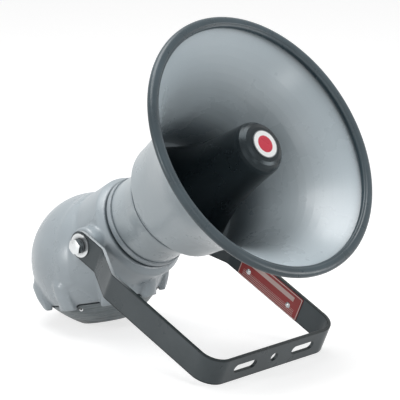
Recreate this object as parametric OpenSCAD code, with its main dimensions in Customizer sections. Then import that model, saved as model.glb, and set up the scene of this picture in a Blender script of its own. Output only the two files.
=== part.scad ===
// Folded horn loudspeaker in a heavy cast housing, standing on its own U bracket.
// Millimetres, Z up. The horn faces -Y and tilts up; the pivot axis runs along X.
// The base plane z = 0 touches the cover's rear edge and the bracket's lower edge.

/* [Stance] */
// Which sub-part to build
// Angle of the horn axis above level
horn_tilt = 33.4; // [0:0.1:60]
// Angle between the housing axis and the horn axis
elbow_angle = 70; // [45:1:90]
// How smooth the round faces are
detail = 96; // [24:12:180]

/* [Horn] */
// Outer diameter of the mouth over its trim
mouth_d = 250; // [200:1:320]
// Distance from the pivot to the mouth plane
mouth_reach = 196; // [180:1:240]
// Width of the mouth trim across its lip
bead_w = 10.6; // [9:0.1:16]
// Thickness of the mouth trim along the horn axis
bead_t = 7.8; // [7:0.1:9]
// Thickness of the spun horn sheet
horn_wall = 1.6; // [1:0.1:3]
// Outer radius of the horn's neck
neck_r = 42; // [38:0.5:46]
// Thickness of the neck's wall
neck_wall = 3; // [2:0.5:4]
// Distance from the pivot to the end of the straight neck
neck_end = 46; // [42:1:56]
// Distance from the pivot to the seam between neck and bell
seam_at = 65; // [60:1:70]
// How much the neck widens up to that seam
neck_flare = 3; // [1:0.5:6]
// How far the bell's bulge is ahead of the seam
bulge_rise = 15; // [10:1:24]
// How much wider the bell is at the bulge than at the seam
bulge_step = 12; // [8:0.5:20]

/* [Nose and throat] */
// Radius of the nose at its rounded front
nose_r = 25.6; // [20:0.1:32]
// How far the badge stands ahead of the mouth plane
nose_proud = 4; // [0:0.5:10]
// Radius of the nose cone at its open rear end
nose_rear_r = 49; // [40:0.5:56]
// Distance from the pivot to the open rear end of the nose cone
nose_rear = 84; // [76:1:110]
// Radius of the round badge
badge_r = 13.3; // [8:0.1:18]
// Outer radius of the throat tube at its front
tube_r = 20; // [14:0.5:24]
// Distance from the pivot to the front end of the throat tube
tube_end = 150; // [120:1:165]

/* [Housing] */
// Distance of the housing axis behind the pivot
housing_back = 48.9; // [40:0.1:60]
// Radius of the domed housing
dome_r = 62.5; // [56:0.5:70]
// How far the dome's centre is below the pivot
dome_drop = 22.5; // [10:0.5:30]
// How far the housing's rim is below the pivot
rim_drop = 57; // [52:0.5:60]
// How far the lugs reach below the pivot
lug_drop = 61.5; // [58:0.1:66]
// How far the cover reaches below the pivot
cover_drop = 79.2; // [74:0.1:86]
// Outer radius of the cover at the rim
cover_r = 50; // [46:0.5:52]
// Radius of the cover's flat end
cover_end_r = 25; // [18:0.5:34]
// How much the cover bows out between the rim and its flat end
cover_bow = 1.5; // [0:0.1:3]
// Thickness of the cast wall
cast_wall = 6.5; // [4:0.5:9]
// Number of lugs around the rim
lug_count = 8; // [4:1:8]
// Width of one lug
lug_w = 17; // [12:0.5:24]
// Length of one lug
lug_l = 30; // [20:0.5:36]
// Radius of the lug ring at its lower end
lug_low_r = 56.8; // [55:0.1:60]
// How much wider the lug ring is at its upper end
lug_draft = 6.2; // [0:0.1:8]
// Turn of the lug ring about the housing axis
lug_turn = 6; // [-22:1:22]
// Radius of the collar under the horn
collar_r = 49; // [46.5:0.5:54]
// Distance from the pivot to the collar's front face
collar_top = 20; // [14:0.5:24]
// Radius of the two pivot bosses
boss_r = 15.5; // [14:0.5:24]

/* [Bracket] */
// Width over the bracket's two arms
bracket_w = 165; // [150:1:200]
// Distance from the pivot to the bracket's outer face
bracket_reach = 197; // [170:1:230]
// Width of the strap
strap_w = 26; // [20:0.5:36]
// Thickness of the strap
strap_t = 3; // [2:0.5:6]
// Distance between the arms' outer faces at the pivot
pivot_w = 128; // [120:1:150]
// Where the outward jog starts, from the pivot
jog_start = 25; // [18:1:40]
// Where the outward jog ends, from the pivot
jog_end = 58.5; // [45:0.5:75]
// Inner radius of the two corner bends
bend_r = 17; // [8:1:30]
// Distance of each slot's centre from the middle hole
slot_out = 38; // [30:0.5:46]
// Length of each slot
slot_l = 29; // [16:1:40]
// Width of each slot and diameter of the middle hole
slot_d = 9; // [6:0.5:12]

/* [Label plate] */
// Length of the plate on the right arm
plate_l = 79; // [60:1:90]
// Width of the plate
plate_w = 20; // [14:0.5:24]
// Thickness of the plate
label_t = 1; // [0.6:0.1:2]
// Distance from the pivot to the plate's middle
plate_mid = 113.6; // [105:0.1:125]
// Distance between the plate's two rivets
rivet_pitch = 53.5; // [40:0.5:66]
// Diameter of the rivets' shanks
rivet_d = 3.2; // [2:0.1:5]

/* [Fasteners] */
// Diameter of the pivot bolts
bolt_d = 8; // [6:0.5:10]
// Size of the pivot bolts' heads across the flats
bolt_af = 12.7; // [10:0.1:17]
// Height of the pivot bolts' heads
head_t = 5.4; // [4:0.1:8]
// Diameter of the flat washers
washer_d = 22.2; // [18:0.1:26]
// Thickness of the flat washers
washer_t = 1.6; // [1:0.1:3]
// Outer diameter of the split lock washers
lock_d = 13.6; // [12:0.1:16]
// Thickness of the split lock washers
lock_t = 2.2; // [1.6:0.1:3]
// Length of the screws that hold the horn base
base_screw_l = 18; // [14:1:24]

/* [Driver] */
// Outer radius of the driver's steel plates
driver_r = 38; // [34:0.5:38]
// Radius of the voice coil
coil_r = 18; // [14:0.5:20]
// Outer radius of the ring magnet
magnet_r = 30; // [28:0.5:31]
// Length of the ring magnet
magnet_l = 16; // [10:1:20]

/* [Electrics] */
// Width of the transformer's core
core_w = 40; // [30:1:44]
// Depth of the transformer's core
core_d = 14; // [10:1:18]
// Height of the transformer's core
core_h = 28; // [20:1:28]
// Distance of the transformer behind the housing axis
core_back = 22; // [16:1:24]

/* [Hidden] */
$fn = detail;
tau = 0.01;
seat_gap = 0.3;
run_gap = 0.05;
cut_over = 1;
housing_lean = horn_tilt + elbow_angle - 90;
bead_r = bead_t/2;
bead_mid = mouth_d/2 - bead_w/2;
rim_ring = mouth_d/2 - bead_r;
lip_r = bead_mid + horn_wall/2;
// The pivot height lets the rear edge of the cover's flat end touch the base plane.
pivot_h = (housing_back + cover_end_r)*sin(housing_lean) + cover_drop*cos(housing_lean);
// The arms drop until the strap's lower edge touches the base plane as well.
arm_drop = asin(pivot_h/norm([bracket_reach, strap_w/2])) - atan(strap_w/2/bracket_reach);
// The box around the speaker is centred on Y.
front_y = mouth_reach*cos(horn_tilt) + rim_ring*sin(horn_tilt) + bead_r;
dome_y = housing_back*cos(housing_lean) - dome_drop*sin(housing_lean);
pivot_y = (front_y - dome_y - dome_r)/2;
// Stations along the horn axis
groove_l = 2.5;
flange_t = 5.5;
base_bottom = collar_top + seat_gap;
base_step = base_bottom + groove_l;
base_top = base_step + flange_t;
spigot_h = 6;
horn_start = base_top + seat_gap;
throat_r = 15;
seat_h = -8;
cap_t = 10;
cap_top = seat_h - seat_gap;
cap_bottom = cap_top - cap_t;
plate_t = 6;
plate_top = cap_bottom - seat_gap;
plate_bottom = plate_top - plate_t;
magnet_top = plate_bottom - seat_gap;
magnet_bottom = magnet_top - magnet_l;
yoke_top = magnet_bottom - seat_gap;
yoke_bottom = yoke_top - plate_t;
driver_bore = driver_r + 1;
seam_r = neck_r + neck_flare;
bell_from = seam_at + bulge_rise;
bell_r0 = seam_r + bulge_step;
tube_flange_r = throat_r + 11;
// Stations along the housing axis
thread_r = cover_r - 3;
thread_l = 8.5;
flange_top = -rim_drop - seat_gap;
thread_top = flange_top + thread_l;
cover_wall = 7;
cover_side = rim_drop + 2.5;
pocket_r = thread_r - 6;
shelf_top = -19;
shelf_t = 4;
entry_r = 12.5;
entry_depth = 15;
entry_turn = 42;
entry_face = dome_r - 2.5;
boss_face = pivot_w/2 - strap_t - run_gap;
tap_depth = 24;
screw_pcd = 34;
base_pcd = 32;

module pivot_frame() translate([0, pivot_y, pivot_h]) children();
// Z along the horn axis, Y up across it
module horn_frame() pivot_frame() rotate([90 - horn_tilt, 0, 0]) children();
// Z up along the housing axis, Y to the rear
module housing_frame() pivot_frame() rotate([-housing_lean, 0, 0]) translate([0, housing_back, 0]) children();
// Z along the arms away from the pivot, Y across the strap
module arm_frame() pivot_frame() rotate([90 + arm_drop, 0, 0]) children();

// Shapes used again and again
module tube(r1, r2, h) {
    difference() {
        cylinder(r = r1, h = h);
        translate([0, 0, -cut_over]) cylinder(r = r2, h = h + 2*cut_over);
    }
}
module hex(af, h) cylinder(r = af/2/cos(30), h = h, $fn = 6);
module ring_of(n, r, turn = 0) {
    for (i = [0:n - 1]) rotate([0, 0, turn + i*360/n]) translate([r, 0, 0]) children();
}
module sides() for (s = [0, 1]) mirror([s, 0, 0]) children();
// A cap screw whose head rests on z = 0 and whose shank points down
module cap_screw(d, l, head_h) {
    difference() {
        union() {
            cylinder(d = 1.7*d, h = head_h, $fn = 48);
            translate([0, 0, -l]) cylinder(d = d, h = l + tau, $fn = 48);
        }
        translate([0, 0, head_h*0.45]) hex(0.8*d, head_h);
    }
}

// Curves of the horn sheet and of the nose cone, as radius against distance
function bell_radius(t) = bell_r0 + (lip_r - bell_r0)*(0.25*t + 0.75*pow(t, 2.6));
function bell_point(t) = [bell_radius(t), bell_from + (mouth_reach - 4 - bell_from)*t];
function rise(t) = (1 - cos(180*t))/2;
function shoulder_point(t) = [seam_r + bulge_step*rise(t), seam_at + seat_gap + (bulge_rise - seat_gap)*t];
function neck_point(t) = [neck_r + neck_flare*rise(t), neck_end + (seam_at - neck_end)*t];
bell_steps = 18;
shoulder_steps = 8;
neck_line = concat([[neck_r, horn_start]], [for (i = [0:shoulder_steps]) neck_point(i/shoulder_steps)]);
bell_line = concat([for (i = [0:shoulder_steps - 1]) shoulder_point(i/shoulder_steps)],
    [for (i = [0:bell_steps]) bell_point(i/bell_steps)],
    [[lip_r, mouth_reach + 1]]);
nose_from = mouth_reach + nose_proud - 1 - 12;
nose_steps = 14;
function nose_radius(t) = nose_r + (nose_rear_r - nose_r)*(0.3*t + 0.7*pow(t, 2.4));
nose_line = concat(
    [for (i = [0:nose_steps]) let (t = 1 - i/nose_steps) [nose_radius(t), nose_from - (nose_from - nose_rear)*t]],
    [for (a = [15:15:90]) [nose_r - 12 + 12*cos(a), nose_from + 12*sin(a)]]);
// The unit normal of a line at point i, to its left going along
function line_dir(p, i) = let (d = p[min(i + 1, len(p) - 1)] - p[max(i - 1, 0)]) d/norm(d);
function inset(p, w) = [for (i = [0:len(p) - 1]) let (d = line_dir(p, i)) p[i] + w*[-d[1], d[0]]];
module wall_line(p, w) polygon(concat(p, [for (i = [len(p) - 1:-1:0]) inset(p, w)[i]]));
module sheet(p, w) rotate_extrude() wall_line(p, w);

// A strap's line in the plane of its bends: steps of [length, middle radius, turn], where a positive
// turn goes towards +X; out shifts the line sideways, and at and dir are the start and its heading
function away(dir) = [cos(dir), -sin(dir)];
function strap_line(steps, out, at, dir = 0, i = 0) = i == len(steps) ? [] :
    let (l = steps[i][0], r = steps[i][1], turn = steps[i][2], s = sign(turn),
        p = at + l*[sin(dir), cos(dir)], c = p + s*r*away(dir), n = max(1, round(abs(turn)/6)))
    concat([for (k = [0:n]) let (d = dir + turn*k/n) c + (out - s*r)*away(d)],
        strap_line(steps, out, c - s*r*away(dir + turn), dir + turn, i + 1));
function back_to(p) = [for (i = [len(p) - 1:-1:0]) p[i]];
function mirror_x(p) = [for (q = p) [-q[0], q[1]]];
function flip_x(p) = back_to(mirror_x(p));

module bracket() {
    jog_out = (bracket_w - pivot_w)/2;
    jog_r = 6 + strap_t/2;
    jog_turn = atan(jog_out/(jog_end - jog_start));
    jog_bend = jog_r*tan(jog_turn/2);
    corner_r = bend_r + strap_t/2;
    start = [pivot_w/2 - strap_t/2, 0];
    steps = [[jog_start - jog_bend, jog_r, jog_turn],
        [jog_out/sin(jog_turn) - 2*jog_bend, jog_r, -jog_turn],
        [bracket_reach - strap_t/2 - jog_end - jog_bend - corner_r, corner_r, -90]];
    outer = concat([start + [strap_t/2, 0]], strap_line(steps, strap_t/2, start));
    inner = concat([start - [strap_t/2, 0]], strap_line(steps, -strap_t/2, start));
    color([0.35, 0.37, 0.38]) arm_frame() difference() {
        union() {
            rotate([90, 0, 0]) linear_extrude(strap_w, center = true)
                polygon(concat(outer, flip_x(outer), mirror_x(inner), back_to(inner)));
            sides() rotate([0, 90, 0]) translate([0, 0, pivot_w/2 - strap_t]) cylinder(d = strap_w, h = strap_t);
        }
        rotate([0, 90, 0]) cylinder(d = bolt_d + 2*run_gap, h = 2*bracket_w, center = true);
        for (x = [-slot_out, slot_out]) translate([x, 0, bracket_reach]) {
            for (e = [-1, 1]) translate([e*(slot_l - slot_d)/2, 0, 0])
                cylinder(d = slot_d, h = 4*strap_t, center = true);
            cube([slot_l - slot_d, slot_d, 4*strap_t], center = true);
        }
        translate([0, 0, bracket_reach]) cylinder(d = slot_d, h = 4*strap_t, center = true);
    }
}

// The plate on the inner face of the right arm
plate_side = -strap_w/2 + plate_w/2 + 0.2;
plate_in = bracket_w/2 - strap_t - run_gap;
rivet_sites = [plate_mid - 1.15 - rivet_pitch/2, plate_mid - 1.15 + rivet_pitch/2];
rivet_side = plate_side - 1;
module label_plate() {
    color([0.48, 0.18, 0.18]) arm_frame() difference() {
        translate([plate_in - label_t, plate_side - plate_w/2, plate_mid - plate_l/2])
            cube([label_t, plate_w, plate_l]);
        for (z = rivet_sites) translate([plate_in, rivet_side, z]) rotate([0, 90, 0])
            cylinder(d = rivet_d + 0.2, h = 4*label_t, center = true, $fn = 32);
    }
}
module label_rivets() {
    color([0.75, 0.76, 0.77]) arm_frame() for (z = rivet_sites)
        translate([plate_in - label_t - run_gap, rivet_side, z]) rotate([0, -90, 0]) {
            intersection() {
                translate([0, 0, -2.2]) sphere(r = 3.6, $fn = 48);
                cylinder(r = 4, h = 3, $fn = 48);
            }
            translate([0, 0, -label_t]) cylinder(d = rivet_d, h = label_t + tau, $fn = 32);
        }
}

// Pivot hardware, drawn for one side and mirrored
washer_at = pivot_w/2 + run_gap;
lock_at = washer_at + washer_t + run_gap;
head_at = lock_at + lock_t + run_gap;
module on_bolt(x) pivot_frame() sides() rotate([0, 90, 0]) translate([0, 0, x]) children();
module pivot_bolts() {
    color([0.8, 0.81, 0.82]) on_bolt(head_at) {
        intersection() {
            rotate([0, 0, 12]) hex(bolt_af, head_t);
            translate([0, 0, -bolt_af*1.02]) sphere(r = bolt_af*1.47);
        }
        translate([0, 0, boss_face - tap_depth + 4 - head_at])
            cylinder(d = bolt_d, h = head_at - boss_face + tap_depth - 4 + tau);
    }
}
module lock_washers() {
    color([0.7, 0.71, 0.72]) on_bolt(lock_at) difference() {
        tube(lock_d/2, bolt_d/2 + run_gap, lock_t);
        translate([0, 0, lock_t/2]) rotate([0, 0, 60]) translate([lock_d/2, 0, 0])
            rotate([0, 25, 0]) rotate([20, 0, 0]) cube([lock_d, 0.8, 4*lock_t], center = true);
    }
}
module flat_washers() {
    color([0.78, 0.79, 0.8]) on_bolt(washer_at) tube(washer_d/2, bolt_d/2 + run_gap, washer_t);
}

module lug_ring() {
    soft_r = lug_w/2;
    for (i = [0:lug_count - 1]) rotate([0, 0, 180 + lug_turn + i*360/lug_count])
        intersection() {
            translate([0, 0, -lug_drop]) difference() {
                cylinder(r1 = lug_low_r, r2 = lug_low_r + lug_draft, h = lug_l);
                translate([0, 0, -cut_over]) cylinder(r = cover_r + 1, h = lug_l + 2*cut_over);
            }
            union() {
                translate([0, -lug_w/2, -lug_drop]) cube([2*dome_r, lug_w, lug_l - soft_r]);
                translate([0, 0, -lug_drop + lug_l - soft_r]) rotate([0, 90, 0])
                    cylinder(r = soft_r, h = 2*dome_r);
            }
        }
}
module at_entry() housing_frame() translate([0, 0, -dome_drop + 6]) rotate([0, 0, entry_turn])
    rotate([0, 90, 0]) children();
module housing() {
    inner_r = dome_r - cast_wall;
    color([0.62, 0.65, 0.67]) difference() {
        union() {
            difference() {
                union() {
                    intersection() {
                        union() {
                            housing_frame() translate([0, 0, -dome_drop]) sphere(r = dome_r);
                            horn_frame() {
                                translate([0, 0, -40]) cylinder(r = collar_r, h = 40 + collar_top - 6);
                                translate([0, 0, collar_top - 6])
                                    cylinder(r1 = collar_r, r2 = collar_r - 4.5, h = 6);
                            }
                        }
                        housing_frame() translate([0, 0, -rim_drop]) cylinder(r = 3*dome_r, h = 4*dome_r);
                    }
                    housing_frame() lug_ring();
                    pivot_frame() sides() rotate([0, 90, 0]) {
                        translate([0, 0, collar_r - 16]) cylinder(r = boss_r, h = boss_face - collar_r + 14);
                        translate([0, 0, boss_face - 2]) cylinder(r1 = boss_r, r2 = boss_r - 2, h = 2);
                    }
                }
                // Cavity: dome, thread bore and driver bore
                intersection() {
                    housing_frame() translate([0, 0, -dome_drop]) sphere(r = inner_r);
                    housing_frame() translate([0, 0, thread_top]) cylinder(r = 2*dome_r, h = 3*dome_r);
                    horn_frame() translate([0, 0, seat_h - 4*dome_r]) cylinder(r = 3*dome_r, h = 4*dome_r);
                }
                housing_frame() translate([0, 0, -rim_drop - cut_over])
                    cylinder(r = thread_r + run_gap, h = rim_drop + cut_over + thread_top + 2);
                horn_frame() {
                    translate([0, 0, yoke_bottom - 6]) cylinder(r = driver_bore, h = seat_h - yoke_bottom + 6);
                    translate([0, 0, seat_h - cut_over]) cylinder(r = throat_r + 1, h = 80);
                    translate([0, 0, collar_top]) cylinder(r = neck_r + 4, h = 80);
                    ring_of(4, base_pcd, 45) translate([0, 0, base_top - base_screw_l - 1])
                        cylinder(d = 5.1, h = 20, $fn = 48);
                }
            }
            // Shelf for the electrical parts and the boss round the conduit entry
            intersection() {
                housing_frame() translate([0, 0, -dome_drop]) sphere(r = inner_r + 1);
                union() {
                    housing_frame() translate([-40, 10, shelf_top - shelf_t]) cube([80, 60, shelf_t]);
                    at_entry() translate([0, 0, entry_face - entry_depth]) cylinder(r = entry_r + 5, h = 20);
                }
            }
        }
        at_entry() {
            translate([0, 0, entry_face - entry_depth - 6]) cylinder(r = entry_r, h = 60);
            translate([0, 0, entry_face]) cylinder(r = entry_r + 8, h = 40);
        }
        pivot_frame() sides() rotate([0, 90, 0])
            translate([0, 0, boss_face - tap_depth + 3]) cylinder(d = bolt_d + 2*run_gap, h = 60);
        housing_frame() translate([22, 24, shelf_top - 10]) cylinder(d = 4.1, h = 20, $fn = 32);
    }
}

// The cover's outside from its side to its flat end, as radius against height
function cover_point(t) = [cover_r - (cover_r - cover_end_r)*t,
    -cover_side - (cover_drop - cover_side)*t - 4*cover_bow*t*(1 - t)];
lock_at_r = cover_r - 3;
lock_z = -cover_side - 2.5;
lock_turn = 197;
module at_lock() housing_frame() rotate([0, 0, lock_turn]) translate([lock_at_r, 0, lock_z])
    rotate([0, 90, 0]) children();
module housing_cover() {
    color([0.36, 0.39, 0.4]) difference() {
        housing_frame() difference() {
            union() {
                rotate_extrude() polygon(concat([[0, flange_top], [cover_r - 1, flange_top], [cover_r, flange_top - 1]],
                    [for (i = [0:10]) cover_point(i/10)], [[0, -cover_drop]]));
                translate([0, 0, flange_top - 2]) cylinder(r = thread_r, h = thread_l + 2);
            }
            translate([0, 0, -cover_drop + cover_wall])
                cylinder(r1 = cover_end_r, r2 = pocket_r, h = cover_drop - cover_wall - cover_side);
            translate([0, 0, -cover_side - tau]) cylinder(r = pocket_r, h = cover_side);
            translate([0, 0, thread_top - 5]) tube(thread_r + 2, thread_r - 2.6, 3.2);
            ring_of(4, 0.64*cover_end_r, 45) translate([0, 0, -cover_drop - cut_over])
                cylinder(d = 6.5, h = 5, $fn = 48);
        }
        at_lock() translate([0, 0, -4.2]) cylinder(d = 4.1, h = 12, $fn = 32);
    }
}
module cover_seal() {
    color([0.1, 0.1, 0.11]) housing_frame() translate([0, 0, thread_top - 5 + 1.6])
        rotate_extrude() translate([thread_r - 1.4, 0]) circle(r = 1.1, $fn = 32);
}
module cover_lock_screw() {
    color([0.7, 0.71, 0.72]) at_lock() difference() {
        translate([0, 0, -4]) cylinder(d = 4, h = 4, $fn = 32);
        translate([0, 0, -2]) hex(2, 4);
    }
}
module conduit_plug() {
    color([0.6, 0.62, 0.64]) at_entry() translate([0, 0, entry_face - entry_depth]) difference() {
        cylinder(r = entry_r - run_gap, h = entry_depth);
        translate([0, 0, 5]) hex(12.7, entry_depth);
    }
}

module horn_base() {
    color([0.6, 0.63, 0.65]) horn_frame() difference() {
        union() {
            translate([0, 0, base_bottom]) cylinder(r = neck_r - 1, h = groove_l + 1);
            translate([0, 0, base_step]) cylinder(r = neck_r + 1.5, h = flange_t);
            translate([0, 0, base_top - tau]) cylinder(r = neck_r - neck_wall - run_gap, h = spigot_h);
        }
        cylinder(r = throat_r + 1, h = 60);
        ring_of(4, base_pcd, 45) cylinder(d = 5.2, h = 60, $fn = 48);
        ring_of(4, base_pcd, 45) translate([0, 0, base_top]) cylinder(d = 9.5, h = 20, $fn = 48);
    }
}
module horn_screws() {
    color([0.7, 0.71, 0.72]) horn_frame() ring_of(4, base_pcd, 45)
        translate([0, 0, base_top + run_gap]) cap_screw(5, base_screw_l, 4.5);
}
// The neck ends in a lip, and its spigot carries the bell
module horn_neck() {
    color([0.64, 0.67, 0.69]) horn_frame() rotate_extrude() union() {
        wall_line(neck_line, neck_wall);
        translate([seam_r + 0.2, seam_at - 1.3]) circle(r = 1.3, $fn = 48);
        translate([seam_r - neck_wall, seam_at - 3]) square([neck_wall - horn_wall - run_gap, 7]);
    }
}
module horn_bell() {
    color([0.66, 0.69, 0.71]) horn_frame() rotate_extrude() union() {
        wall_line(bell_line, horn_wall);
        translate([seam_r + 0.3, seam_at + seat_gap + 1.1]) circle(r = 1.1, $fn = 48);
    }
}
module mouth_trim() {
    color([0.29, 0.33, 0.35]) horn_frame() rotate_extrude() difference() {
        translate([bead_mid, mouth_reach]) {
            for (e = [-1, 1]) translate([e*(bead_w - bead_t)/2, 0]) circle(r = bead_r, $fn = 64);
            square([bead_w - bead_t, bead_t], center = true);
        }
        translate([lip_r - horn_wall - run_gap, mouth_reach - 12]) square([horn_wall + 2*run_gap, 13 + seat_gap]);
        translate([lip_r, mouth_reach]) polygon([[-6, -8], [0.2, -8], [0.2, -2.8], [-2, -2.8], [-6, -5.5]]);
    }
}
module nose_cone() {
    color([0.08, 0.1, 0.1]) horn_frame() sheet(concat(nose_line, [[0, nose_from + 12]]), horn_wall);
}
module nose_badge() {
    color([0.95, 0.95, 0.95]) horn_frame() translate([0, 0, nose_from + 12 + run_gap])
        cylinder(r = badge_r, h = 1);
}
module throat_tube() {
    flange_at = base_top + spigot_h + seat_gap;
    color([0.12, 0.13, 0.14]) horn_frame() rotate_extrude() polygon([
        [throat_r - 2, base_bottom], [throat_r, base_bottom], [throat_r, flange_at], [tube_flange_r, flange_at],
        [tube_flange_r, flange_at + 3], [throat_r + 1, flange_at + 3], [tube_r, tube_end - 50], [tube_r, tube_end],
        [tube_r - 2, tube_end]]);
}
module nose_spider() {
    color([0.12, 0.13, 0.14]) horn_frame() intersection() {
        union() {
            translate([0, 0, tube_end - 40]) tube(tube_r + 2.5, tube_r + run_gap, 16);
            difference() {
                for (a = [90, 210, 330]) rotate([0, 0, a]) translate([0, -1.5, tube_end - 40]) cube([60, 3, 16]);
                cylinder(r = tube_r + run_gap, h = 400);
            }
        }
        rotate_extrude() polygon(concat([[0, nose_rear]], inset(nose_line, horn_wall + 0.1), [[0, nose_from + 10]]));
    }
}
module flame_arrestor() {
    color([0.55, 0.5, 0.4]) horn_frame() translate([0, 0, -6]) difference() {
        cylinder(r = throat_r + 1 - run_gap, h = 9);
        for (r = [5, 10]) translate([0, 0, 7]) tube(r + 1, r, 4);
    }
}
module arrestor_ring() {
    color([0.7, 0.71, 0.72]) horn_frame() translate([0, 0, 3 + seat_gap]) tube(throat_r + 1 - run_gap, throat_r - 3, 4);
}

module driver_cap() {
    color([0.5, 0.52, 0.54]) horn_frame() difference() {
        translate([0, 0, cap_bottom]) cylinder(r = driver_r, h = cap_t);
        translate([0, 0, cap_bottom - cut_over]) cylinder(r = coil_r + 8, h = 6 + cut_over);
        translate([0, 0, cap_bottom]) cylinder(r = 12, h = 30);
        ring_of(4, screw_pcd, 20) translate([0, 0, -60]) cylinder(d = 4.2, h = 60, $fn = 32);
    }
}
module phase_plug() {
    color([0.2, 0.2, 0.22]) horn_frame() translate([0, 0, cap_top - 3.8]) intersection() {
        union() {
            cylinder(r1 = 7, r2 = 4, h = 3.6);
            for (a = [0:60:120]) rotate([0, 0, a]) translate([-12, -0.8, 0]) cube([24, 1.6, 2]);
        }
        cylinder(r = 12 - run_gap, h = 10);
    }
}
dome_l = 4;
module diaphragm() {
    flat = plate_top + 0.7;
    color([0.15, 0.15, 0.17]) horn_frame() translate([0, 0, flat]) rotate_extrude()
        polygon(concat([[coil_r + 6, 0], [coil_r + 6, 0.5], [coil_r, 0.5]],
            [for (i = [1:8]) let (t = i/8) [coil_r*cos(90*t), 0.5 + dome_l*sin(90*t)]],
            [for (i = [8:-1:1]) let (t = i/8) [(coil_r - 0.8)*cos(90*t), dome_l*sin(90*t)]],
            [[coil_r - 0.6, 0]]));
}
module voice_coil() {
    color([0.72, 0.42, 0.2]) horn_frame() translate([0, 0, plate_bottom - 1])
        tube(coil_r + 0.35, coil_r - 0.35, plate_t + 1 + 0.7 - run_gap);
}
module top_plate() {
    color([0.45, 0.46, 0.48]) horn_frame() translate([0, 0, plate_bottom]) difference() {
        tube(driver_r, coil_r + 1, plate_t);
        ring_of(4, screw_pcd, 20) translate([0, 0, -1]) cylinder(d = 4.2, h = 20, $fn = 32);
    }
}
module magnet() color([0.2, 0.2, 0.21]) horn_frame() translate([0, 0, magnet_bottom]) tube(magnet_r, coil_r + 4, magnet_l);
module yoke() {
    color([0.45, 0.46, 0.48]) horn_frame() difference() {
        union() {
            translate([0, 0, yoke_bottom]) cylinder(r = driver_r, h = plate_t);
            translate([0, 0, yoke_top - tau]) cylinder(r = coil_r - 1, h = plate_top - 0.4 - yoke_top);
        }
        ring_of(4, screw_pcd, 20) translate([0, 0, yoke_bottom - 1]) cylinder(d = 4.2, h = 20, $fn = 32);
    }
}
module driver_screws() {
    color([0.7, 0.71, 0.72]) horn_frame() ring_of(4, screw_pcd, 20)
        translate([0, 0, yoke_bottom - run_gap]) mirror([0, 0, 1]) cap_screw(4, cap_top - 0.5 - yoke_bottom, 3.6);
}

module transformer() {
    window = core_h - 8;
    color([0.3, 0.3, 0.32]) housing_frame() translate([0, core_back, shelf_top - shelf_t - run_gap - core_h/2]) {
        cube([core_w, core_d, core_h], center = true);
        cube([core_w - 14, core_d + 10, window], center = true);
    }
}
module terminal_block() {
    color([0.12, 0.12, 0.13]) housing_frame() translate([-12, 26, shelf_top + run_gap]) difference() {
        translate([-15, -7, 0]) cube([30, 14, 12]);
        for (x = [-10, 0, 10]) translate([x, 0, 8]) {
            cylinder(d = 5, h = 10, $fn = 32);
            translate([0, -7, -3]) rotate([90, 0, 0]) cylinder(d = 3.4, h = 8, center = true, $fn = 32);
        }
    }
}
module ground_screw() {
    color([0.75, 0.68, 0.35]) housing_frame() translate([22, 24, shelf_top + run_gap]) cap_screw(4, 8, 3.2);
}

bracket();
label_plate();
label_rivets();
pivot_bolts();
lock_washers();
flat_washers();
housing();
housing_cover();
cover_seal();
cover_lock_screw();
conduit_plug();
horn_base();
horn_screws();
horn_neck();
horn_bell();
mouth_trim();
nose_cone();
nose_badge();
throat_tube();
nose_spider();
flame_arrestor();
arrestor_ring();
driver_cap();
phase_plug();
diaphragm();
voice_coil();
top_plate();
magnet();
yoke();
driver_screws();
transformer();
terminal_block();
ground_screw();
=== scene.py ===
import math

import bmesh
import bpy
from mathutils import Matrix, Vector


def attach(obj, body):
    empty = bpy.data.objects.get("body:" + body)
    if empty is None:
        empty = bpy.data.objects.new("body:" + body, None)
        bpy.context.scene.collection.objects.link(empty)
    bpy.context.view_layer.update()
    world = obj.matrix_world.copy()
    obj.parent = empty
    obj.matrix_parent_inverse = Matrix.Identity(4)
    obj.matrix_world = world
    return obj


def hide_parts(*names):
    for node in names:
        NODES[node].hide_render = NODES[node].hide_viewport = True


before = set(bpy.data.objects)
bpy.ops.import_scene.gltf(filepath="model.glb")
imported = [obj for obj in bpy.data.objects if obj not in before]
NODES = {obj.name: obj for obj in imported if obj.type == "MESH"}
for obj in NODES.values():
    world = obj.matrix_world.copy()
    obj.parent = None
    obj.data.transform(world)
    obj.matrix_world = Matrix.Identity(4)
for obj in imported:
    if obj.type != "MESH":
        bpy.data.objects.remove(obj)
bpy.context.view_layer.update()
SCENE = bpy.context.scene

# Directions and places of the part in the frame, in metres and radians
TILT = math.radians(33.4)
LEAN = math.radians(13.4)
DROP = math.radians(24.7131)
HOUSING_BACK = 0.0489
PIVOT = Vector((0, 0.0646695, 0.09417))
SIDE = Vector((1, 0, 0))
HORN = Vector((0, -math.cos(TILT), math.sin(TILT)))
HORN_UP = Vector((0, math.sin(TILT), math.cos(TILT)))
SHELL = Vector((0, math.sin(LEAN), math.cos(LEAN)))
SHELL_REAR = Vector((0, math.cos(LEAN), -math.sin(LEAN)))
SHELL_AXIS = PIVOT + HOUSING_BACK * SHELL_REAR
ARM = Vector((0, -math.cos(DROP), -math.sin(DROP)))
ARM_UP = Vector((0, -math.sin(DROP), math.cos(DROP)))

# Camera: angles, aim off the pivot, and distance
CAMERA_AZIMUTH = math.radians(-46.7)
CAMERA_ELEVATION = math.radians(14.14)
AIM_RIGHT = 0.0643
AIM_UP = 0.02966
CAMERA_DISTANCE = 2.70484
LENS = 263.87
SENSOR = 36

# Red plate on the strap: its middle, half sizes, and how far it sits above the middle
PLATE = PIVOT + 0.1136 * ARM - 0.0028 * ARM_UP
PLATE_LONG = 0.0395
PLATE_HALF = 0.0120
PLATE_RISE = 0.0022
PLATE_CORNER = 0.0012
PLATE_CHAMFER = 0.0002

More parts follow.
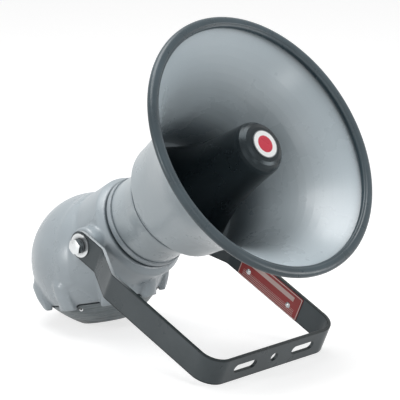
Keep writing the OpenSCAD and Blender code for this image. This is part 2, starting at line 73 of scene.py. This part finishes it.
# Pale marks of the red plate: border, fine lines and bar
BORDER_INNER = 0.0013
BORDER_OUTER = 0.0005
LINES_TOP = -0.0012
LINES_BOTTOM = -0.0080
LINES_LONG = 0.034
LINE_PITCH = 0.00095
LINE_HALF = 0.0004
BAR_AT = 0.0080
BAR_HALF = 0.0024
BAR_LONG = 0.030

# Bands over which the painted light inside the horn's bell, and the painted shade and painted highlight at
# the strap's edges, change
HORN_PAINTED_LIGHT = (0.150, 0.195)
STRAP_EDGE_SHADE = (0.0116, 0.0124)
STRAP_EDGE_HIGHLIGHT = (0.035, 0.085)

# Badge: place of its face along the horn, dot and rim
BADGE_AT = 0.199
DOT_R = 0.0080
BADGE_RIM = 0.0124

# Trim: points round its section, turns round the horn, groove
TRIM_POINTS = 40
TRIM_TURNS = 200
TRIM_SQUARE = 0.86
TRIM_INSET = 0.0001
GROOVE_DEEP = 0.0007
GROOVE_AT = 128
GROOVE_WIDE = 9

# Dome of the housing, and the low band over it
DOME_R = 0.0625
DOME_DROP = 0.0225
BAND_NEAR = 0.021
BAND_FAR = 0.044
BAND_HIGH = 0.0016
BAND_SUNK = 0.0004
BAND_ROOT = 0.0028
BAND_END = 104
BAND_STEP = 4
BAND_PARTS = 12

# Lugs of the housing
LUG_COUNT = 8
LUG_FIRST = 186
LUG_DROP = 0.0615
LUG_L = 0.030
LUG_THUMB = 0.0215
LUG_W = 0.0085
LUG_CROWN = 0.0034
LUG_OUT = 0.0568
LUG_DRAFT = 0.0062
LUG_INNER = 0.0516
LUG_ROOT_R = 0.0579
LUG_ROOT_OUT = 0.0006
LUG_CROWN_RISE = 0.012
LUG_SQUARE = 0.8
LUG_END = 0.05
LUG_STEPS = (0, 0.002, 0.005, 0.009, 0.013, 0.017, LUG_THUMB, 0.0235, 0.0255, 0.0272, 0.0285, 0.0294, LUG_L)
LUG_CORNERS = 20

# Casting: size of the grid it is rebuilt on, and rounds of smoothing
CASTING_GRID = 0.0012
CASTING_ROUNDS = 3

# Lamps: name, watts, place, size
LAMPS = (
    ("top", 19, (0, 0.2, 1.6), 1.3),
    ("left", 7.5, (-1.7, 0.3, 0.6), 0.36),
    ("front", 3, (-0.2, -1.7, 1.3), 1.0),
    ("spark", 1.8, (-0.6, -1.8, 0.12), 0.18),
    ("fill", 3, (-1.6, -0.9, 0.5), 1.3),
    ("right_low", 11, (1.0, -1.5, 0.2), 0.9),
)
LAMP_AIM = Vector((0, 0, 0.12))
WORLD_LEVEL = 0.22
FLOOR_HALF = 6
FLOOR_GLOW = 0.7


def set_camera():
    """The camera at the photograph's viewing angle."""
    flat = math.cos(CAMERA_ELEVATION)
    turn_sin = math.sin(CAMERA_AZIMUTH)
    turn_cos = math.cos(CAMERA_AZIMUTH)
    back = Vector((turn_sin * flat, -turn_cos * flat, math.sin(CAMERA_ELEVATION)))
    right = Vector((turn_cos, turn_sin, 0))
    up = back.cross(right)
    data = bpy.data.cameras.new("camera")
    data.lens = LENS
    data.sensor_width = SENSOR
    data.clip_end = 50
    camera = bpy.data.objects.new("camera", data)
    SCENE.collection.objects.link(camera)
    camera.matrix_world = Matrix((right, up, back)).transposed().to_4x4()
    camera.location = PIVOT + AIM_RIGHT * right + AIM_UP * up + CAMERA_DISTANCE * back
    SCENE.camera = camera


# Node materials
class Mat:
    """A Principled material and short calls that add nodes to it."""

    def __init__(self, name, rough, metallic=0.0):
        self.m = bpy.data.materials.new(name)
        self.m.use_nodes = True
        self.t = self.m.node_tree
        self.b = self.t.nodes["Principled BSDF"]
        self.b.inputs["Metallic"].default_value = metallic
        self.b.inputs["Roughness"].default_value = rough
        self.obj = self.t.nodes.new("ShaderNodeTexCoord").outputs["Object"]

    def put(self, socket, value):
        """Links a socket, or sets it to a number, a vector or a colour."""
        if isinstance(value, bpy.types.NodeSocket):
            self.t.links.new(value, socket)
        elif isinstance(value, tuple) and len(value) == 3:
            socket.default_value = (*value, 1)
        else:
            socket.default_value = value

    def math(self, op, a, b=0.0):
        """A math node's result."""
        n = self.t.nodes.new("ShaderNodeMath")
        n.operation = op
        self.put(n.inputs[0], a)
        self.put(n.inputs[1], b)
        return n.outputs[0]

    def product(self, *shares):
        """Several shares multiplied together."""
        total = shares[0]
        for share in shares[1:]:
            total = self.math("MULTIPLY", total, share)
        return total

    def vector(self, op, a, b=None):
        """A vector math node's result, a number for a dot product or a length."""
        n = self.t.nodes.new("ShaderNodeVectorMath")
        n.operation = op
        self.put(n.inputs[0], a)
        if b is not None:
            self.put(n.inputs[1], b)
        return n.outputs["Value" if op in ("DOT_PRODUCT", "LENGTH") else "Vector"]

    def normal(self):
        """The true normal of the face."""
        return self.t.nodes.new("ShaderNodeNewGeometry").outputs["True Normal"]

    def along(self, axis, origin):
        """Distance along an axis from an origin, in metres."""
        return self.math("SUBTRACT", self.vector("DOT_PRODUCT", self.obj, axis), axis.dot(origin))

    def noise(self, scale, detail=3.0, rough=0.55, vector=None):
        """Noise over the object, or over a given vector."""
        n = self.t.nodes.new("ShaderNodeTexNoise")
        self.put(n.inputs["Vector"], vector or self.obj)
        n.inputs["Scale"].default_value = scale
        n.inputs["Detail"].default_value = detail
        n.inputs["Roughness"].default_value = rough
        return n.outputs["Fac"]

    def ramp(self, fac, stops):
        """Colours at places from 0 to 1."""
        n = self.t.nodes.new("ShaderNodeValToRGB")
        elements = n.color_ramp.elements
        while len(elements) < len(stops):
            elements.new(0.5)
        for element, (at, tone) in zip(elements, stops):
            element.position = at
            element.color = (*tone, 1)
        self.put(n.inputs[0], fac)
        return n.outputs[0]

    def span(self, fac, low, high, at_low=0.0, at_high=1.0):
        """Maps low to high onto at_low to at_high, and holds the ends."""
        n = self.t.nodes.new("ShaderNodeMapRange")
        n.clamp = True
        self.put(n.inputs["Value"], fac)
        for key, value in (("From Min", low), ("From Max", high), ("To Min", at_low), ("To Max", at_high)):
            n.inputs[key].default_value = value
        return n.outputs[0]

    def mix(self, fac, a, b):
        """Colour a where fac is 0, and b where it is 1."""
        n = self.t.nodes.new("ShaderNodeMix")
        n.data_type = "RGBA"
        self.put(n.inputs["Factor"], fac)
        self.put(n.inputs["A"], a)
        self.put(n.inputs["B"], b)
        return n.outputs["Result"]

    def color(self, value):
        """Sets the base colour."""
        self.put(self.b.inputs["Base Color"], value)

    def base(self):
        """The base colour so far."""
        return self.b.inputs["Base Color"].links[0].from_socket

    def coat(self, share, tone):
        """Lays a tone over the colour so far, by a share."""
        self.color(self.mix(share, self.base(), srgb(tone)))

    def keep(self, share, tone):
        """Keeps the colour so far by a share, and has the tone elsewhere."""
        self.color(self.mix(share, srgb(tone), self.base()))

    def rough(self, value):
        """Sets the roughness."""
        self.put(self.b.inputs["Roughness"], value)

    def gloss(self, level):
        """Sets the strength of the coat's reflections."""
        self.b.inputs["Specular IOR Level"].default_value = level

    def bump(self, height, strength, distance):
        """Bumps the surface by a height."""
        n = self.t.nodes.new("ShaderNodeBump")
        n.inputs["Strength"].default_value = strength
        n.inputs["Distance"].default_value = distance
        self.put(n.inputs["Height"], height)
        self.t.links.new(n.outputs[0], self.b.inputs["Normal"])

    def bevelled(self, radius):
        """Rounds the edges in the shading."""
        n = self.t.nodes.new("ShaderNodeBevel")
        n.samples = 6
        n.inputs["Radius"].default_value = radius
        for bump in [node for node in self.t.nodes if node.type == "BUMP"]:
            self.t.links.new(n.outputs[0], bump.inputs["Normal"])

    def shaded(self, tone, distance):
        """Paints shade into the colour deep in corners."""
        n = self.t.nodes.new("ShaderNodeAmbientOcclusion")
        n.samples = 8
        n.inputs["Distance"].default_value = distance
        self.keep(self.span(n.outputs["AO"], 0.35, 0.95), tone)


def srgb(text):
    """The linear colour of six hexadecimal digits."""
    parts = [int(text[i:i + 2], 16) / 255 for i in (0, 2, 4)]
    return tuple(x / 12.92 if x <= 0.04045 else ((x + 0.055) / 1.055) ** 2.4 for x in parts)


def painted(name, tone, dark, light, grain, rough, bump=0.12, patch=14):
    """Paint, rubber or plastic: a patchy tone, uneven gloss and a fine grain."""
    m = Mat(name, rough)
    m.color(m.ramp(m.noise(patch, 4), [(0.3, srgb(dark)), (0.5, srgb(tone)), (0.72, srgb(light))]))
    m.rough(m.span(m.noise(patch * 3, 5), 0.3, 0.7, rough - 0.06, rough + 0.08))
    m.bump(m.noise(grain, 2), bump, 0.0004)
    return m


def metal(name, tone, rough=0.3):
    """Bare metal with uneven gloss and a fine grain."""
    m = Mat(name, rough, 1.0)
    dull = tuple(0.82 * part for part in srgb(tone))
    m.color(m.ramp(m.noise(40, 4), [(0.3, dull), (0.7, srgb(tone))]))
    m.rough(m.span(m.noise(160, 4), 0.3, 0.7, rough - 0.08, rough + 0.1))
    m.bump(m.noise(1500, 2), 0.08, 0.0002)
    return m


def cast_paint():
    """Grey coat of the castings, with soft edges and painted shade in the corners."""
    m = painted("cast_paint", "a0aab0", "959fa5", "abb5bb", grain=1100, rough=0.3, bump=0.16)
    m.gloss(0.8)
    m.bevelled(0.0022)
    m.shaded("5c666c", 0.012)
    return m


def horn_paint():
    """Smooth coat of the horn, with painted light inside the bell towards the mouth, and painted shade in
    the corners.
    """
    m = painted("horn_paint", "aab4b9", "a3adb2", "b1bbc0", grain=1400, rough=0.28, bump=0.04, patch=7)
    m.gloss(0.7)
    from_pivot = m.vector("SUBTRACT", m.obj, PIVOT)
    outward = m.vector("SUBTRACT", from_pivot, m.vector("PROJECT", from_pivot, HORN))
    inside = m.math("LESS_THAN", m.vector("DOT_PRODUCT", m.normal(), outward), 0.0)
    # Painted light inside the bell, paler towards the mouth
    m.coat(m.product(inside, m.span(m.along(HORN, PIVOT), *HORN_PAINTED_LIGHT)), "c6d3da")
    m.shaded("59646b", 0.03)
    return m


def trim_rubber():
    """Dark rubber of the trim, with painted shade in its groove."""
    m = painted("trim_rubber", "34434a", "2c3a41", "3d4d55", grain=1600, rough=0.3, bump=0.05, patch=20)
    m.shaded("1a2226", 0.004)
    return m


def black_shell():
    """Smooth black shell of the nose cone, with cool reflections."""
    m = painted("black_shell", "0b1215", "080e11", "0f171b", grain=1800, rough=0.28, bump=0.02, patch=9)
    m.gloss(0.45)
    m.b.inputs["Specular Tint"].default_value = (*srgb("d2e2ea"), 1)
    return m


def bracket_paint():
    """Dark coat of the strap, with painted shade beside its cut edges and on them, and a painted highlight
    on them near the bolts.
    """
    m = painted("bracket_paint", "4e5558", "464d50", "565d60", grain=1300, rough=0.3, bump=0.1, patch=18)
    m.bevelled(0.0009)
    m.gloss(0.25)
    edge_facing = m.math("ABSOLUTE", m.vector("DOT_PRODUCT", m.normal(), ARM_UP))
    cut_edge = m.span(edge_facing, 0.6, 0.85)
    from_middle = m.math("ABSOLUTE", m.along(ARM_UP, PIVOT))
    # Painted shade beside and on the cut edges, and a painted highlight on the cut edges near the bolts
    m.coat(m.span(from_middle, *STRAP_EDGE_SHADE), "2c3235")
    m.coat(cut_edge, "293133")
    m.coat(m.product(cut_edge, m.span(m.along(ARM, PIVOT), *STRAP_EDGE_HIGHLIGHT, 1.0, 0.0)), "b4babd")
    return m


def cover_metal():
    """Turned metal of the cover, with pale and dark marks that run round its axis, and painted shade in the
    corners.
    """
    m = painted("cover_metal", "5d676b", "525c60", "697377", grain=700, rough=0.42, bump=0.3, patch=60)
    across = m.along(SIDE, SHELL_AXIS)
    rearward = m.along(SHELL_REAR, SHELL_AXIS)
    squares = m.math("ADD", m.math("POWER", across, 2.0), m.math("POWER", rearward, 2.0))
    turned = m.t.nodes.new("ShaderNodeCombineXYZ")
    m.put(turned.inputs["X"], m.math("SQRT", squares))
    m.put(turned.inputs["Y"], m.math("MULTIPLY", m.math("ARCTAN2", rearward, across), 0.0028))
    m.put(turned.inputs["Z"], m.along(SHELL, SHELL_AXIS))
    pale_marks = m.span(m.noise(420, 5, 0.7, turned.outputs[0]), 0.36, 0.66)
    m.coat(m.math("MULTIPLY", pale_marks, 0.75), "9aa3a6")
    m.coat(m.span(m.noise(260, 4, 0.6, turned.outputs[0]), 0.56, 0.7), "384144")
    m.bevelled(0.0012)
    m.shaded("262d30", 0.012)
    return m


def bright_zinc():
    """Bright zinc of the washers and small screws, with painted shade in the corners."""
    m = metal("bright_zinc", "d9dcdd")
    m.shaded("4c5052", 0.0035)
    return m


def dull_zinc():
    """Duller zinc of the lock washers, with painted shade in the corners."""
    m = metal("dull_zinc", "6f7477", 0.38)
    m.shaded("2c2f31", 0.003)
    return m


def bolt_zinc():
    """Zinc of the bolts, with painted shade on the flats of the heads, darker than on their ends."""
    m = metal("bolt_zinc", "dfe2e3")
    facing = m.t.nodes.new("ShaderNodeSeparateXYZ")
    m.put(facing.inputs[0], m.normal())
    # Painted shade on the flats of the heads, by the way they face
    m.keep(m.span(m.math("ABSOLUTE", facing.outputs["X"]), 0.5, 0.8), "5f6568")
    return m


def plate_outside(m, from_middle, from_centre, inset):
    """1 outside a rectangle inset from the plate's outline, and 0 within it."""
    long_edge = PLATE_LONG - inset
    high_edge = PLATE_HALF - inset
    blur = 0.0001
    return m.math("MAXIMUM", m.span(from_middle, long_edge, long_edge + blur),
                  m.span(from_centre, high_edge, high_edge + blur))


def red_plate_paint():
    """Red plate with a pale border, a plain pale bar and plain fine lines."""
    m = painted("red_plate", "96302f", "8a2828", "a23838", grain=900, rough=0.38, bump=0.06, patch=30)
    from_middle = m.math("ABSOLUTE", m.along(ARM, PLATE))
    height = m.along(ARM_UP, PLATE)
    from_centre = m.math("ABSOLUTE", m.math("SUBTRACT", height, PLATE_RISE))
    border = m.math("SUBTRACT", plate_outside(m, from_middle, from_centre, BORDER_INNER),
                    plate_outside(m, from_middle, from_centre, BORDER_OUTER))
    rows = m.math("PINGPONG", m.math("ADD", height, 0.1), LINE_PITCH)
    lines = m.product(
        m.math("LESS_THAN", rows, LINE_HALF), m.math("LESS_THAN", height, LINES_TOP),
        m.math("GREATER_THAN", height, LINES_BOTTOM), m.math("LESS_THAN", from_middle, LINES_LONG))
    from_bar = m.math("ABSOLUTE", m.math("SUBTRACT", height, BAR_AT))
    bar = m.product(m.math("LESS_THAN", from_bar, BAR_HALF), m.math("LESS_THAN", from_middle, BAR_LONG))
    pale = "d3c2bc"
    m.coat(m.math("MULTIPLY", lines, 0.55), pale)
    m.coat(m.math("MULTIPLY", bar, 0.8), pale)
    m.coat(border, pale)
    return m


def badge_white():
    """White badge with a plain red dot and a grey rim."""
    m = painted("badge_white", "eceeee", "e4e6e6", "f2f3f3", grain=900, rough=0.28, bump=0.03, patch=30)
    offset = m.vector("SUBTRACT", m.obj, PIVOT + BADGE_AT * HORN)
    from_axis = m.vector("LENGTH", m.vector("CROSS_PRODUCT", offset, HORN))
    m.coat(m.span(from_axis, DOT_R, DOT_R + 0.0002, 1.0, 0.0), "c0283f")
    m.coat(m.span(from_axis, BADGE_RIM, BADGE_RIM + 0.0003), "6d7376")
    return m


CAST = cast_paint()
HORN_COAT = horn_paint()
TRIM = trim_rubber()
BLACK = black_shell()
STRAP = bracket_paint()
COVER = cover_metal()
ZINC = bright_zinc()
DULL_ZINC = dull_zinc()
BOLT = bolt_zinc()
RED_PLATE = red_plate_paint()
BADGE = badge_white()
SEAL = painted("seal_rubber", "141516", "101112", "191a1b", grain=1200, rough=0.6, patch=60)
STEEL = metal("plate_steel", "8c9092", 0.32)
RIVET = metal("bright_metal", "c8cacb")
ALLOY = metal("plug_metal", "a4a8aa", 0.4)
BRASS = metal("brass_screw", "c8a860")
SINTER = metal("arrestor_metal", "8c7a58", 0.7)
COPPER = metal("coil_copper", "b87445", 0.35)
CORE = metal("core_steel", "56585c", 0.55)
MAGNET = painted("magnet_grey", "3c3e40", "323436", "46484a", grain=500, rough=0.6, bump=0.4, patch=60)
PLASTIC = painted("dark_plastic", "1c1d1f", "17181a", "222325", grain=900, rough=0.5, patch=40)

MATERIALS = {
    "bracket": STRAP,
    "label_plate": RED_PLATE,
    "label_rivets": RIVET,
    "pivot_bolts": BOLT,
    "lock_washers": DULL_ZINC,
    "flat_washers": ZINC,
    "housing": CAST,
    "housing_cover": COVER,
    "cover_seal": SEAL,
    "cover_lock_screw": ZINC,
    "conduit_plug": ALLOY,
    "horn_base": CAST,
    "horn_screws": ZINC,
    "horn_neck": HORN_COAT,
    "horn_bell": HORN_COAT,
    "mouth_trim": TRIM,
    "nose_cone": BLACK,
    "nose_badge": BADGE,
    "throat_tube": BLACK,
    "nose_spider": BLACK,
    "flame_arrestor": SINTER,
    "arrestor_ring": ZINC,
    "driver_cap": STEEL,
    "phase_plug": PLASTIC,
    "diaphragm": PLASTIC,
    "voice_coil": COPPER,
    "top_plate": STEEL,
    "magnet": MAGNET,
    "yoke": STEEL,
    "driver_screws": ZINC,
    "transformer": CORE,
    "terminal_block": PLASTIC,
    "ground_screw": BRASS,
}


def dress_nodes():
    """Gives every CAD node its material, and the strap small round edges."""
    for name, mat in MATERIALS.items():
        data = NODES[name].data
        data.materials.clear()
        data.materials.append(mat.m)
    edges = NODES["bracket"].modifiers.new("soft_edges", "BEVEL")
    edges.width = 0.0006
    edges.segments = 3
    edges.limit_method = "ANGLE"
    edges.angle_limit = math.radians(50)


# Mesh pieces
def loft(work, sections, closed=False):
    """Skins sections of points, and caps both ends or closes the loop."""
    rings = [[work.verts.new(point) for point in section] for section in sections]
    pairs = list(zip(rings, rings[1:]))
    if closed:
        pairs.append((rings[-1], rings[0]))
    for one, two in pairs:
        for k in range(len(one)):
            after = (k + 1) % len(one)
            work.faces.new((one[k], one[after], two[after], two[k]))
    if not closed:
        work.faces.new(rings[0])
        work.faces.new(rings[-1])


def store(work, data):
    """Writes the work mesh to mesh data, with its faces turned outward."""
    bmesh.ops.recalc_face_normals(work, faces=work.faces)
    work.to_mesh(data)
    work.free()


def smooth(data):
    """Shades every face smoothly."""
    for face in data.polygons:
        face.use_smooth = True


def new_piece(name, data, mat):
    """An object of its own in the scene, with one material."""
    data.materials.clear()
    data.materials.append(mat.m)
    obj = bpy.data.objects.new(name, data)
    SCENE.collection.objects.link(obj)
    return obj


def plate_outline(x, grow):
    """The plate's outline with small round corners, at a place along X."""
    points = []
    for turn_x, turn_y, start in ((1, 1, 0), (-1, 1, 90), (-1, -1, 180), (1, -1, 270)):
        for step in range(5):
            a = math.radians(start + 22.5 * step)
            along = turn_x * (PLATE_LONG - PLATE_CORNER) + (PLATE_CORNER + grow) * math.cos(a)
            high = turn_y * (PLATE_HALF - PLATE_CORNER) + (PLATE_CORNER + grow) * math.sin(a)
            points.append(PLATE + along * ARM + (high + PLATE_RISE) * ARM_UP + x * SIDE)
    return points


def add_red_plate():
    """The red plate, which covers nearly the whole width of the strap."""
    node = NODES["label_plate"]
    places = [(node.matrix_world @ v.co).x for v in node.data.vertices]
    near = min(places)
    far = max(places)
    levels = ((far, 0), (near + PLATE_CHAMFER, 0), (near, -PLATE_CHAMFER))
    work = bmesh.new()
    loft(work, [plate_outline(x, grow) for x, grow in levels])
    data = bpy.data.meshes.new("red_plate")
    store(work, data)
    obj = new_piece("red_plate", data, RED_PLATE)
    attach(obj, "bracket")
    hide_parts("label_plate")


def trim_section():
    """The trim's section as pairs of radius and height, with a groove along its inner side."""
    node = NODES["mouth_trim"]
    offsets = [node.matrix_world @ v.co - PIVOT for v in node.data.vertices]
    heights = [offset.dot(HORN) for offset in offsets]
    radii = [(offset - offset.dot(HORN) * HORN).length for offset in offsets]
    h_mid = (max(heights) + min(heights)) / 2
    h_half = (max(heights) - min(heights)) / 2
    r_mid = (max(radii) + min(radii)) / 2
    r_half = (max(radii) - min(radii)) / 2 - TRIM_INSET
    section = []
    for i in range(TRIM_POINTS):
        a = 2 * math.pi * i / TRIM_POINTS
        groove = GROOVE_DEEP * math.exp(-((math.degrees(a) - GROOVE_AT) / GROOVE_WIDE) ** 2)
        out = math.copysign(abs(math.cos(a)) ** TRIM_SQUARE, math.cos(a))
        high = math.copysign(abs(math.sin(a)) ** TRIM_SQUARE, math.sin(a))
        section.append((r_mid + (r_half - groove) * out, h_mid + (h_half - groove) * high))
    return section


def add_trim_bead():
    """The trim as a rounded moulding round the mouth."""
    section = trim_section()
    sections = []
    for k in range(TRIM_TURNS):
        a = 2 * math.pi * k / TRIM_TURNS
        ray = math.cos(a) * SIDE + math.sin(a) * HORN_UP
        sections.append([PIVOT + radius * ray + height * HORN for radius, height in section])
    work = bmesh.new()
    loft(work, sections, closed=True)
    data = bpy.data.meshes.new("trim_bead")
    store(work, data)
    smooth(data)
    obj = new_piece("trim_bead", data, TRIM)
    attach(obj, "head")
    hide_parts("mouth_trim")


def lug_section(height, turn):
    """One D-shaped section of a lug at a height over its lower end."""
    crown = LUG_CROWN * min(1.0, height / LUG_CROWN_RISE) ** 0.7
    out = LUG_OUT + LUG_DRAFT * height / LUG_L + crown
    under_dome = height - (LUG_DROP - DOME_DROP)
    inner = max(LUG_INNER, math.sqrt(LUG_ROOT_R ** 2 - under_dome ** 2) + LUG_ROOT_OUT)
    wide = LUG_W
    if height > LUG_THUMB:
        closing = math.sqrt(max(0.0, 1 - ((height - LUG_THUMB) / (LUG_L - LUG_THUMB)) ** 2))
        out = inner + (out - inner) * max(LUG_END, closing)
        wide = LUG_W * max(LUG_END, closing)
    ray = math.cos(turn) * SIDE + math.sin(turn) * SHELL_REAR
    flank = -math.sin(turn) * SIDE + math.cos(turn) * SHELL_REAR
    foot = SHELL_AXIS + (height - LUG_DROP) * SHELL
    points = []
    for i in range(LUG_CORNERS + 1):
        a = math.pi * (i / LUG_CORNERS - 0.5)
        aside = wide * math.copysign(abs(math.sin(a)) ** LUG_SQUARE, math.sin(a))
        outward = inner + (out - inner) * math.cos(a) ** LUG_SQUARE
        points.append(foot + aside * flank + outward * ray)
    return points


def add_lugs(work):
    """Adds the eight thumb-shaped lugs to the casting."""
    for i in range(LUG_COUNT):
        turn = math.radians(LUG_FIRST + 360 / LUG_COUNT * i)
        loft(work, [lug_section(height, turn) for height in LUG_STEPS])


def band_point(turn, place, proud):
    """A point over the dome at a turn round it, a place along it and a height over its skin."""
    outward = math.sin(turn) * SIDE + math.cos(turn) * SHELL
    dome = math.sqrt(DOME_R ** 2 - (HOUSING_BACK - place) ** 2)
    middle = SHELL_AXIS - DOME_DROP * SHELL
    return middle + (place - HOUSING_BACK) * SHELL_REAR + (dome + proud) * outward


def band_section(turn):
    """One section of the low band, with its root inside the dome."""
    points = []
    for i in range(BAND_PARTS + 1):
        share = i / BAND_PARTS
        proud = BAND_HIGH * min(1.0, 4 * share, 4 * (1 - share)) - BAND_SUNK
        points.append(band_point(turn, BAND_NEAR + (BAND_FAR - BAND_NEAR) * share, proud))
    points.append(band_point(turn, BAND_FAR, -BAND_ROOT))
    points.append(band_point(turn, BAND_NEAR, -BAND_ROOT))
    return points


def add_band(work):
    """Adds the low band over the dome, from one pivot boss to the other."""
    turns = range(-BAND_END, BAND_END + 1, BAND_STEP)
    loft(work, [band_section(math.radians(turn)) for turn in turns])


def add_housing_casting():
    """The casting with its crowned lugs, low band, and soft fillets where its forms meet."""
    data = NODES["housing"].data.copy()
    work = bmesh.new()
    work.from_mesh(data)
    add_lugs(work)
    add_band(work)
    store(work, data)
    obj = new_piece("housing_casting", data, CAST)
    remesh = obj.modifiers.new("remesh", "REMESH")
    remesh.mode = "VOXEL"
    remesh.voxel_size = CASTING_GRID
    soften = obj.modifiers.new("soften", "SMOOTH")
    soften.factor = 0.5
    soften.iterations = CASTING_ROUNDS
    evaluated = obj.evaluated_get(bpy.context.evaluated_depsgraph_get())
    result = bpy.data.meshes.new_from_object(evaluated)
    obj.modifiers.clear()
    obj.data = result
    smooth(result)
    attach(obj, "head")
    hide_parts("housing")


# Floor, lamps and a white surround
def level_by_ray(tree, unseen, seen):
    """One level for rays from the camera, mirrors and glass, and another for the light on the object."""
    path = tree.nodes.new("ShaderNodeLightPath")
    either = path.outputs["Is Camera Ray"]
    for other in (path.outputs["Is Glossy Ray"], path.outputs["Is Transmission Ray"]):
        larger = tree.nodes.new("ShaderNodeMath")
        larger.operation = "MAXIMUM"
        tree.links.new(either, larger.inputs[0])
        tree.links.new(other, larger.inputs[1])
        either = larger.outputs[0]
    level = tree.nodes.new("ShaderNodeMapRange")
    level.inputs["To Min"].default_value = unseen
    level.inputs["To Max"].default_value = seen
    tree.links.new(either, level.inputs["Value"])
    return level.outputs[0]


def add_floor():
    """A plain pale floor that looks white and keeps the object's shadow."""
    data = bpy.data.meshes.new("floor")
    h = FLOOR_HALF
    data.from_pydata([(-h, -h, 0), (h, -h, 0), (h, h, 0), (-h, h, 0)], [], [(0, 1, 2, 3)])
    mat = Mat("floor_white", 0.9)
    mat.color(srgb("bcbcbc"))
    mat.b.inputs["Emission Color"].default_value = (1, 1, 1, 1)
    mat.put(mat.b.inputs["Emission Strength"], level_by_ray(mat.t, 0.0, FLOOR_GLOW))
    floor = new_piece("floor", data, mat)


def add_lamp(name, watts, place, size):
    """A round area lamp aimed at the object."""
    data = bpy.data.lights.new(name, "AREA")
    data.energy = watts
    data.shape = "DISK"
    data.size = size
    lamp = bpy.data.objects.new(name, data)
    lamp.location = place
    lamp.rotation_euler = (LAMP_AIM - Vector(place)).to_track_quat("-Z", "Y").to_euler()
    SCENE.collection.objects.link(lamp)


def set_world():
    """A surround that looks white and lights the object plainly."""
    world = bpy.data.worlds.new("world")
    SCENE.world = world
    world.use_nodes = True
    tree = world.node_tree
    background = tree.nodes["Background"]
    background.inputs["Color"].default_value = (1, 1, 1, 1)
    tree.links.new(level_by_ray(tree, WORLD_LEVEL, 1.0), background.inputs["Strength"])


SCENE.view_settings.view_transform = "Standard"
set_camera()
dress_nodes()
add_red_plate()
add_trim_bead()
add_housing_casting()
add_floor()
for lamp_row in LAMPS:
    add_lamp(*lamp_row)
set_world()
